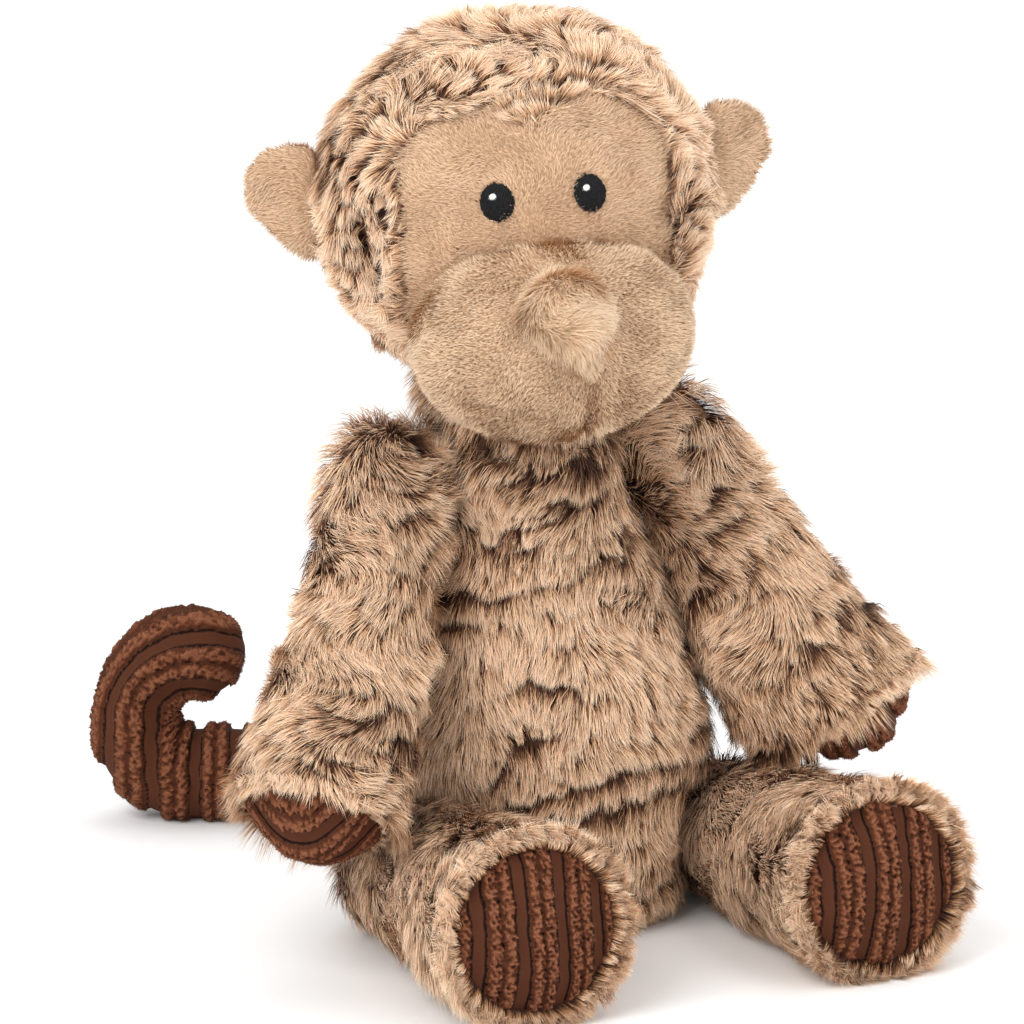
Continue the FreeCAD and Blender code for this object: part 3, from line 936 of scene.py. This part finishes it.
def muzzle_pile():
    roots, ups = scattered(muzzle_skin, MUZZLE_DENSITY, 42, clear_of(["head_skin"], 0.2 * MM))
    seam, smile = seam_nearness(roots), smile_nearness(roots)
    local = in_head(roots, MUZZLE_MIDDLE)
    ease = np.where(local[:, 2] < 0, 1.5 * MM, 6 * MM)
    comb = np.outer(np.tanh((local[:, 0] - SEAM_LEFT) / ease), HEAD_LEFT) - HEAD_UP * 0.4
    # Painted shade: the pile is coloured darker in the seam's and the smile's creases and towards the
    # muzzle's lower side
    underside_shade = held(-local[:, 2] / (28 * MM))
    short_pile("muzzle_pile", roots, ups, comb, 142, length=2.4 * MM * (1 - 0.55 * seam - 0.3 * smile),
               lift=0.85, shade=1.15 * seam + 0.35 * smile + 0.08 * underside_shade, pile=MUZZLE_PILE,
               slot_name="muzzle_plush", body="head")


# The nose hangs like a drop: its lower half sags to the toy's left, and narrows
NOSE_LOW, SAG_LEFT, SAG_DOWN, SAG_NARROW = 11 * MM, 4.5 * MM, 3.5 * MM, 0.5
nose_skin = remeshed_hull("nose_skin", node_points("nose_cover"), 1.5 * MM)
points = coordinates(nose_skin.data)
droop = held(-in_head(points, NOSE_MIDDLE)[:, 2:3] / NOSE_LOW)
points = points + HEAD_LEFT * SAG_LEFT * droop - HEAD_UP * SAG_DOWN * droop
off_middle = in_head(points, NOSE_MIDDLE)[:, 0:1] - SAG_LEFT * droop
points = points - HEAD_LEFT * off_middle * SAG_NARROW * droop
move_vertices(nose_skin, points)
dress(nose_skin, FACE_GROUND, "nose_plush", "head", "nose_cover", "nose_stuffing", fill=0.8)
SKIN_TREES["nose_skin"] = tree(nose_skin)


def nose_pile():
    roots, ups = scattered(nose_skin, NOSE_DENSITY, 43, clear_of(["muzzle_skin"], 0.1 * MM))
    comb = HEAD_LEFT * 0.35 - HEAD_UP * 0.9 + HEAD_FRONT * 0.1
    local = in_head(roots, NOSE_MIDDLE)
    # Painted shade: the nose's pile is coloured darker towards its lower side
    low = held(-local[:, 2] / (10 * MM))
    shade = 0.05 + 0.22 * held(waves(roots, 5 * MM, 6)) + 0.15 * low
    short_pile("nose_pile", roots, ups, np.tile(comb, (len(roots), 1)), 143, length=4.6 * MM, lift=0.62,
               shade=shade, pile=NOSE_PILE, slot_name="nose_plush", body="head", width=0.28 * MM, wander=0.7,
               clump=0.45)


def ear(side):
    out = 1 if side == "left" else -1
    name = f"ear_skin_{side}"
    skin = remeshed_hull(name, node_points(f"ear_back_{side}", f"ear_front_{side}"), 1.6 * MM)
    points = coordinates(skin.data)
    middle = (points.min(0) + points.max(0)) / 2
    spread = points - middle
    normal = np.linalg.svd(spread - spread.mean(0), full_matrices=False)[2][2]
    normal = normal * np.sign(normal @ HEAD_FRONT)
    across = unit(HEAD_LEFT * out - (HEAD_LEFT @ normal) * out * normal)
    tall = np.cross(normal, across)
    tall = tall * np.sign(tall @ HEAD_UP)
    u, w, h = spread @ across, spread @ tall, spread @ normal
    half = max(abs(u).max(), abs(w).max())
    # The lobe is widest above its middle and tapers to a narrow end below
    low_end = held(-w / half)
    edge = u.min()
    u2 = edge + (u - edge) * (1 - 0.50 * low_end**1.3 + 0.06 * held(w / half))
    u2 = u2 - 2.2 * MM * held(1 - (u - edge) / (5 * MM))
    corner = held((u + w) / (1.4 * half)) ** 2
    u2, w2 = u2 + 2.0 * MM * corner, w + 1.5 * MM * corner
    bowl = held(1 - (u / half) ** 2 - (w / half) ** 2)
    front = (h > 0) * bowl * 3.4 * MM
    points = middle + np.outer(u2, across) + np.outer(w2, tall) + np.outer(h - front, normal)
    move_vertices(skin, points)
    soften = skin.modifiers.new("soften", "SMOOTH")
    soften.iterations = 4
    applied(skin)
    dress(skin, FACE_GROUND, "ear_plush", f"ear_{side}", f"ear_back_{side}", f"ear_front_{side}", fill=0.4)
    SKIN_TREES[name] = tree(skin)
    roots, ups = scattered(skin, EAR_DENSITY, 50 + out, clear_of(["head_skin"], 0.1 * MM))
    comb = unit(roots - (middle - across * 14 * MM))
    # Painted shade: the pile is coloured darker towards the ear's root beside the head
    near_head_shade = held(1 - ((roots - middle) @ across / half + 1) / 0.8)
    short_pile(f"ear_pile_{side}", roots, ups, comb, 150 + out, length=2.8 * MM, lift=0.65,
               shade=0.2 + 0.6 * near_head_shade, pile=FACE_PILE, slot_name="ear_plush", body=f"ear_{side}")


face_pile()
muzzle_pile()
nose_pile()
for side in SIDES:
    ear(side)

# ---------------------------------------------------------------- embroidered eyes


def stitched_oval(name, middle, across, up, normal, half_across, half_up, pitch, proud, tilt, seed):
    """Satin stitch: rows of raised thread laid side by side over an oval, with uneven ends."""
    draw = np.random.default_rng(seed)
    way, step = (spun(v[None], normal[None], np.array([tilt]))[0] for v in (up, across))
    rows, ring = 12, 6
    vertices, corners = [], []
    for offset in np.arange(-half_across, half_across + pitch / 2, pitch):
        reach = half_up * math.sqrt(max(0.03, 1 - (offset / half_across) ** 2))
        low, high = -reach - draw.uniform(0, 0.55) * MM, reach + draw.uniform(0, 0.55) * MM
        base = len(vertices)
        for row in range(rows + 1):
            t = low + (high - low) * row / rows
            crown = 1 - (t / (half_up * 1.15)) ** 2 * 0.75 - (offset / (half_across * 1.15)) ** 2 * 0.55
            spine = middle + way * t + step * offset + normal * (proud * max(0.05, crown) - 0.25 * MM)
            for corner in range(ring):
                angle = 2 * math.pi * corner / ring
                size = pitch * 0.62 * (0.6 if row in (0, rows) else 1)
                vertices.append(spine + (step * math.cos(angle) + normal * math.sin(angle)) * size)
        for row in range(rows):
            for corner in range(ring):
                a, b = base + row * ring + corner, base + row * ring + (corner + 1) % ring
                corners.append([a, b, b + ring, a + ring])
    sizes = np.full(len(corners), 4)
    return mesh_object(name, np.array(vertices), sizes, np.array(corners).ravel())


for side in SIDES:
    middle, across, up, normal = eye_frame(side)
    iris = stitched_oval(f"eye_thread_{side}", middle, across, up, normal, *EYE_HALF, pitch=0.42 * MM,
                         proud=1.9 * MM, tilt=0.12, seed=61)
    dress(iris, BLACK_THREAD, "black_thread", "head", f"eye_{side}")
    glint_offset = centre(f"eye_glint_{side}") - EYES[side]
    spot = middle + across * (glint_offset @ across) + up * (glint_offset @ up) + normal * 1.45 * MM
    glint = stitched_oval(f"glint_thread_{side}", spot, across, up, normal, GLINT_HALF, GLINT_HALF,
                          pitch=0.36 * MM, proud=0.5 * MM, tilt=0.3, seed=62)
    dress(glint, WHITE_THREAD, "white_thread", "head", f"eye_glint_{side}")

# ---------------------------------------------------------------- corduroy

PAIR_PITCH, WALE_OFF, WALE_HALF = 12.0 * MM, 2.05 * MM, 2.05 * MM
WALE_HIGH, FURROW = 1.7 * MM, 0.45


def wales(phase, points, seed):
    """How high the corduroy stands, 0 in the gaps to about 1 on its paired wales, and how light it is.

    The lightness is partly painted shade: darker low on the wales' flanks and in the gaps right beside them.
    """
    phase = phase + 0.35 * MM * waves(points, 14 * MM, seed) + 0.15 * MM * waves(points, 3 * MM, seed + 1)
    from_pair = np.abs((phase / PAIR_PITCH) % 1 - 0.5) * PAIR_PITCH
    from_wale = np.abs(from_pair - WALE_OFF) / WALE_HALF
    crest = np.sqrt(held(1 - from_wale**2))
    on_pair = held((WALE_OFF + WALE_HALF - from_pair) / (0.35 * MM))
    filled = np.maximum(crest, FURROW * (from_pair < WALE_OFF)) * on_pair
    nubs = 0.26 * waves(points, 0.8 * MM, seed + 2, count=40) * (filled > 0.2)
    height = np.clip(filled + nubs, 0, 1.3)
    in_gap = held((from_pair - WALE_OFF - WALE_HALF) / (1.3 * MM))
    # Painted shade: the lightness falls on the wales' low flanks and beside them in the gaps, over the
    # cloth's own lighter nubs
    return height, np.where(on_pair > 0, height * (0.35 + 0.65 * crest), 0.40 * in_gap)


def toned(piece, tone_and_shade):
    """Keeps how light each vertex is, for the corduroy's material, painted shade of the gaps and flanks
    included.
    """
    store = piece.data.attributes.new("level", "FLOAT", "POINT")
    store.data.foreach_set("value", np.ascontiguousarray(tone_and_shade, np.float32))
    return piece


def grid_faces(rows, columns, wrap=False):
    """Quads of a grid of points given row by row; wrap joins each row's ends."""
    across = columns if wrap else columns - 1
    r, c = np.meshgrid(np.arange(rows - 1), np.arange(across), indexing="ij")
    after = (c + 1) % columns
    row, above = r * columns, (r + 1) * columns
    return np.stack([row + c, row + after, above + after, above + c], -1).reshape(-1, 4)


def pad(limb, seed):
    """A round corduroy panel: its wales run up a sole, and curve like a smile across a palm."""
    count = 150
    name = f"{limb.kind}_pad_{limb.side}"
    reach = limb.pad_r + 1.4 * MM
    line = np.linspace(-1, 1, count)
    s, t = np.meshgrid(line, line, indexing="ij")
    # Square to disc
    x, y = s * np.sqrt(1 - t**2 / 2) * reach, t * np.sqrt(1 - s**2 / 2) * reach
    x, y = x.ravel(), y.ravel()
    far = np.hypot(x, y) / reach
    dome = (limb.pad_top - limb.pad_rim + 0.6 * MM) * (1 - far**2)
    base = limb.start + np.outer(x, limb.side_way) + np.outer(y, limb.up_way)
    if limb.kind == "leg":
        phase = x * (1 + 0.10 * np.cos(y / reach * math.pi / 2) - 0.05) + PAIR_PITCH * 0.5
    else:
        phase = y - 0.35 * x**2 / reach + PAIR_PITCH * 0.35
    level, tone_and_shade = wales(phase, base + limb.axis * 50 * MM, seed)
    pillow = 0.5 * MM * waves(base, 18 * MM, seed + 9)
    high = limb.pad_rim - 0.4 * MM + dome + pillow * (1 - far**2)
    high = high + WALE_HIGH * level * held((1 - far) * 12)
    points = base + limb.axis * high[:, None]
    faces = grid_faces(count, count)
    made = mesh_object(name, points, np.full(len(faces), 4), faces.ravel())
    toned(made, tone_and_shade)
    dress(made, CORDUROY, "corduroy", limb.body, limb.pad_node, fill=0.85)
    fuzz(f"{limb.kind}_fuzz_{limb.side}", made, level, seed + 20, limb.body)


def fuzz(name, piece, level, seed, body, density=4.5e6):
    """The brushed tops of the wales."""
    roots, ups = scattered(piece, density, seed)
    finder = KDTree(len(level))
    for index, place in enumerate(coordinates(piece.data)):
        finder.insert(place, index)
    finder.balance()
    keep = level[[finder.find(point)[1] for point in roots]] > 0.5
    roots, ups = roots[keep], ups[keep]
    sideways = unit(np.random.default_rng(seed + 1).normal(size=(len(roots), 3)))
    short_pile(name, roots, ups, sideways, seed + 2, length=1.0 * MM, lift=0.9, shade=0.3, pile=WALE_FUZZ,
               slot_name="corduroy", body=body, width=0.26 * MM, wander=1.0)


for number, limb in enumerate(LIMBS):
    pad(limb, 70 + number)


# ---------------------------------------------------------------- tail

TAIL_R, TAIL_ROOT_Y = 12.5 * MM, 49 * MM
TAIL_BEND_R, TAIL_BEND, TAIL_RUN = 69 * MM, math.radians(65), 17.5 * MM
HOOK_R, HOOK_TURN = 18.5 * MM, math.radians(184)


def tail_line(spacing):
    """Points along the tail's middle, and the direction at each."""
    start = np.array([0, TAIL_ROOT_Y, TAIL_R])
    heading = np.array([-math.sin(TAIL_BEND), math.cos(TAIL_BEND), 0])
    points, ways = [], []
    for turn in np.arange(0, TAIL_BEND, spacing / TAIL_BEND_R):
        points.append(start + TAIL_BEND_R * np.array([math.cos(turn) - 1, math.sin(turn), 0]))
        ways.append([-math.sin(turn), math.cos(turn), 0])
    corner = start + TAIL_BEND_R * np.array([math.cos(TAIL_BEND) - 1, math.sin(TAIL_BEND), 0])
    for step in np.arange(0, TAIL_RUN, spacing):
        points.append(corner + heading * step)
        ways.append(heading)
    hook = corner + heading * TAIL_RUN + UP * HOOK_R
    for turn in np.append(np.arange(0, HOOK_TURN, spacing / HOOK_R), HOOK_TURN):
        points.append(hook + HOOK_R * (heading * math.sin(turn) - UP * math.cos(turn)))
        ways.append(heading * math.cos(turn) + UP * math.sin(turn))
    return np.array(points), np.array(ways), hook, heading


def tail():
    spacing, around = 0.6 * MM, 132
    line, ways, hook, heading = tail_line(spacing)
    cap = np.arange(1, 17) / 17 * math.pi / 2
    root_extra = line[0] - ways[0] * TAIL_R * np.sin(cap[::-1])[:, None]
    tip_extra = line[-1] + ways[-1] * TAIL_R * np.sin(cap)[:, None]
    radii = np.concatenate([np.cos(cap[::-1]), np.ones(len(line)), np.cos(cap)]) * (TAIL_R - 1.0 * MM)
    line = np.concatenate([root_extra, line, tip_extra])
    ways = np.concatenate([np.tile(ways[0], (len(cap), 1)), ways, np.tile(ways[-1], (len(cap), 1))])
    side = np.cross(heading, UP)
    turned = np.cross(ways, UP)
    first = np.where(np.linalg.norm(turned, axis=1, keepdims=True) > 0.9, turned, side)
    in_hook = np.arange(len(line)) >= len(line) - len(cap) - int(HOOK_R * HOOK_TURN / spacing)
    first[in_hook] = side
    first = unit(first - dot(first, ways) * ways)
    second = np.cross(first, ways)
    angle = np.linspace(0, 2 * math.pi, around, endpoint=False)
    out = first[:, None] * np.cos(angle)[None, :, None] + second[:, None] * np.sin(angle)[None, :, None]
    sheet = line[:, None] + out * radii[:, None, None]
    flat, outward = sheet.reshape(-1, 3), out.reshape(-1, 3)
    offset = flat - hook
    u, rise = offset @ heading, offset[:, 2]
    circle = np.hypot(u, rise)
    blend = held(rise / (8 * MM) + 0.5)
    phase = u * (1 - blend) + circle * blend
    phase += 0.10 * (offset @ side)
    level, tone_and_shade = wales(phase, flat, 90)
    soft = 0.7 * MM * waves(flat, 22 * MM, 91)
    full = held(radii / TAIL_R * 2).repeat(around)
    points = flat + outward * (WALE_HIGH * level + soft)[:, None] * full[:, None]
    points[:, 2] = np.maximum(points[:, 2], FLOOR_CLEAR)
    faces = grid_faces(len(line), around, True)
    lids = [np.arange(around)[::-1], np.arange(around) + (len(line) - 1) * around]
    sizes = np.concatenate([np.full(len(faces), 4), [around, around]])
    made = mesh_object("tail_corduroy", points, sizes, np.concatenate([faces.ravel(), *lids]))
    fix = bmesh.new()
    fix.from_mesh(made.data)
    bmesh.ops.recalc_face_normals(fix, faces=fix.faces)
    fix.to_mesh(made.data)
    fix.free()
    toned(made, tone_and_shade)
    dress(made, CORDUROY, "corduroy", "tail", "tail_cover", "tail_stuffing", fill=0.8)
    fuzz("tail_fuzz", made, level, 92, "tail", 3.5e6)


tail()

# ---------------------------------------------------------------- seam tabs

for limb in LIMBS:
    seam_node = f"{limb.root}_seam_{limb.side}"
    tab = remeshed_hull(f"{limb.root}_tape_{limb.side}", node_points(seam_node), 0.8 * MM)
    dress(tab, TAPE, "seam_tape", f"{limb.root}_{limb.side}", seam_node)

# ---------------------------------------------------------------- floor, light and camera

floor_points = np.array([[-3, -3, 0], [3, -3, 0], [3, 3, 0], [-3, 3, 0]], float)
floor = mesh_object("floor", floor_points, np.array([4]), np.arange(4))
floor_look, _, floor_shader = material("floor_paper", 0.9, 0.0, 0.1)
floor_shader.inputs["Base Color"].default_value = (0.93, 0.93, 0.93, 1)
floor.data.materials.append(floor_look)

view_right = np.array([math.cos(CAMERA_AZIMUTH), math.sin(CAMERA_AZIMUTH), 0])
view_back = np.array([math.sin(CAMERA_AZIMUTH) * math.cos(CAMERA_ELEVATION),
                      -math.cos(CAMERA_AZIMUTH) * math.cos(CAMERA_ELEVATION), math.sin(CAMERA_ELEVATION)])
view_up = np.cross(view_back, view_right)


def looking(place, back):
    """A matrix for something at a place that faces away from back."""
    back = unit(back)
    right = unit(np.cross(UP, back))
    up = np.cross(back, right)
    return Matrix([[*row, at] for row, at in zip(np.stack([right, up, back], 1), place)] + [[0, 0, 0, 1]])


camera_data = bpy.data.cameras.new("camera")
camera_data.lens, camera_data.sensor_width = CAMERA_LENS, 36
camera_data.clip_start, camera_data.clip_end = 0.05, 20
camera = linked("camera", camera_data)
aim = view_right * CAMERA_AIM_RIGHT + view_up * CAMERA_AIM_UP
camera.matrix_world = looking(aim + view_back * CAMERA_DISTANCE, view_back)
bpy.context.scene.camera = camera


def soft_light(name, right, up, back, size, power):
    """A square area light placed along the view's directions, facing the toy."""
    data = bpy.data.lights.new(name, "AREA")
    data.size, data.energy = size, power
    lamp = linked(name, data)
    way = view_right * right + UP * up + flattened(view_back[None], UP[None])[0] * back
    middle = np.array([0, 0, 0.12])
    lamp.matrix_world = looking(middle + way, way)


soft_light("key", -0.9, 1.3, 1.3, 1.2, 22)
soft_light("fill", 1.4, 0.7, 1.2, 1.5, 9)
soft_light("top", 0.2, 1.8, -0.6, 1.4, 9)
world = bpy.data.worlds.new("studio")
world.use_nodes = True
world.node_tree.nodes["Background"].inputs["Color"].default_value = (1, 1, 1, 1)
world.node_tree.nodes["Background"].inputs["Strength"].default_value = 0.95
bpy.context.scene.world = world
bpy.context.scene.view_settings.view_transform = "Standard"
